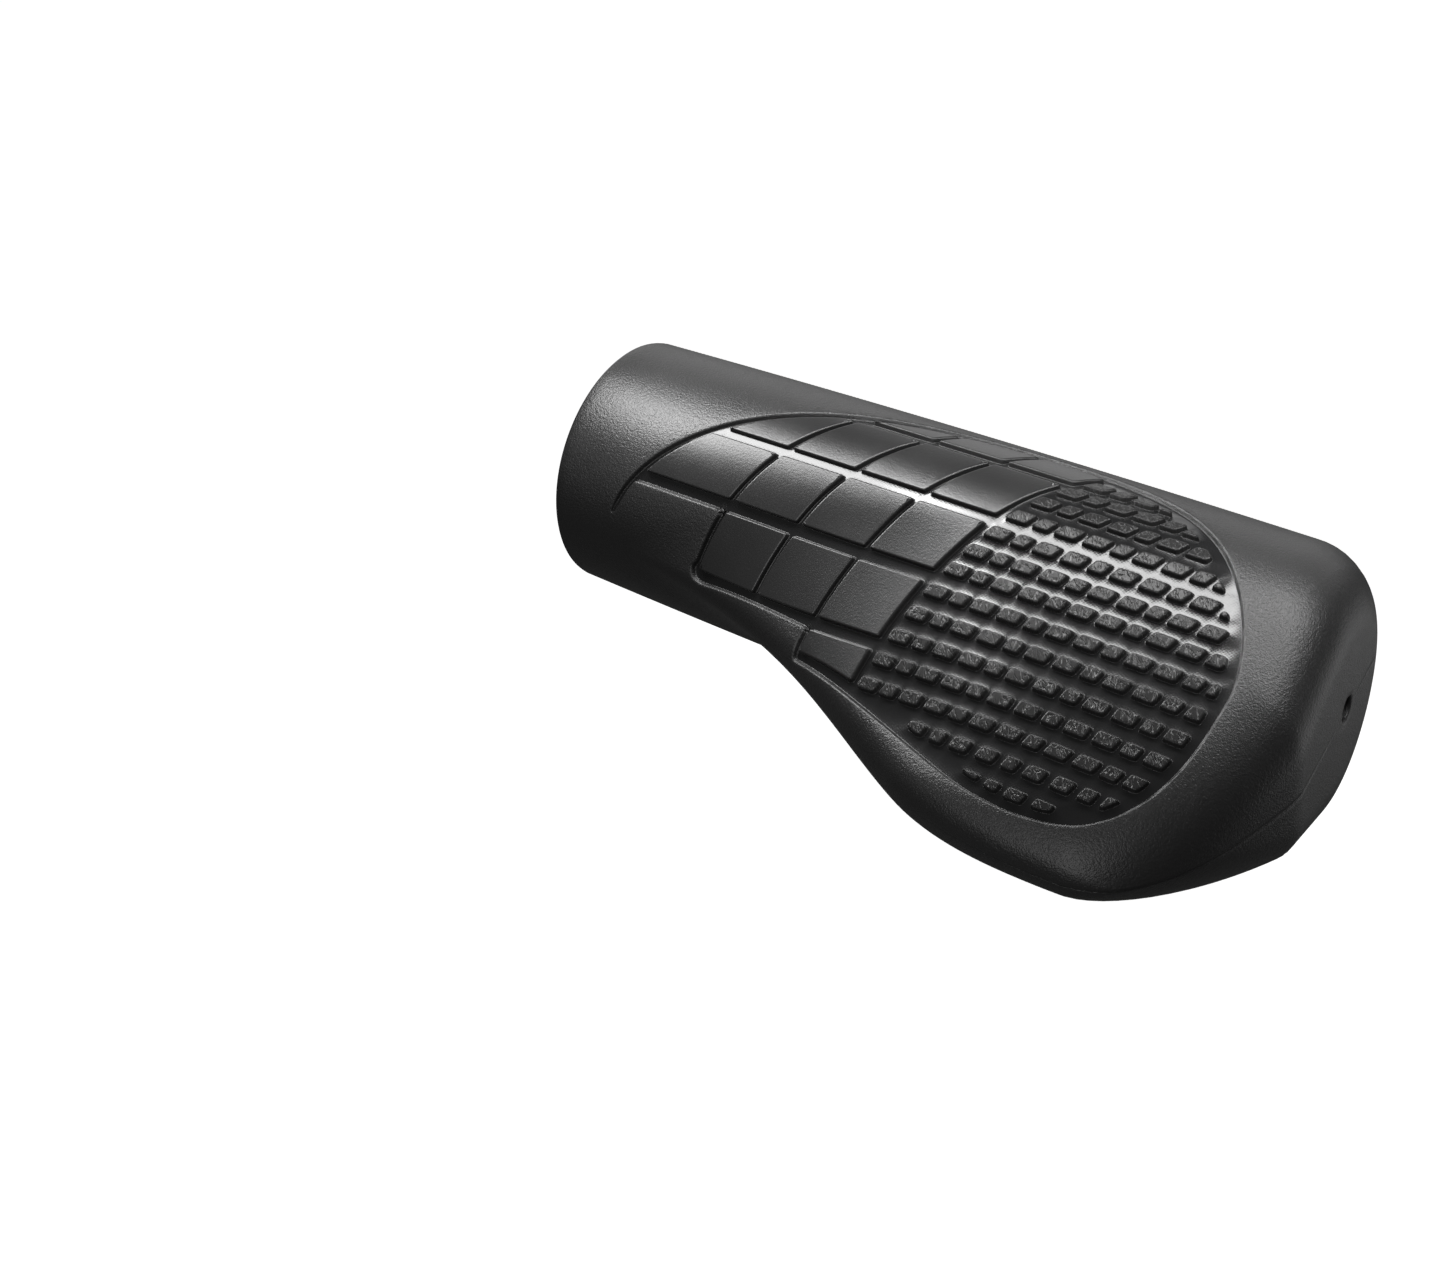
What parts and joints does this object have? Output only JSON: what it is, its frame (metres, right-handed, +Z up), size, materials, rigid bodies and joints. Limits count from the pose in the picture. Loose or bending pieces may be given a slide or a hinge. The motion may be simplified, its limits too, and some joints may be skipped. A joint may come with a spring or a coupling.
{
  "type": "handlebar grip",
  "caption": "Moulded rubber handlebar grip with a flat palm wing, a blind bar bore with a vent hole, and a recessed tread panel of tiles and small blocks.",
  "frame": {"origin": "on the axis of the bar bore, in the plane of the inboard rim", "axes": "+X outboard along the bar, +Y forward, +Z up; the palm wing reaches back toward -Y, and the wing's parting plane is the XY plane"},
  "size_m": [0.108, 0.0601, 0.0358],
  "materials": {
    "rubber": "matte moulded rubber with a fine sand grain"
  },
  "bodies": {
    "root": {"grip": "rubber"}
  },
  "joints": []
}
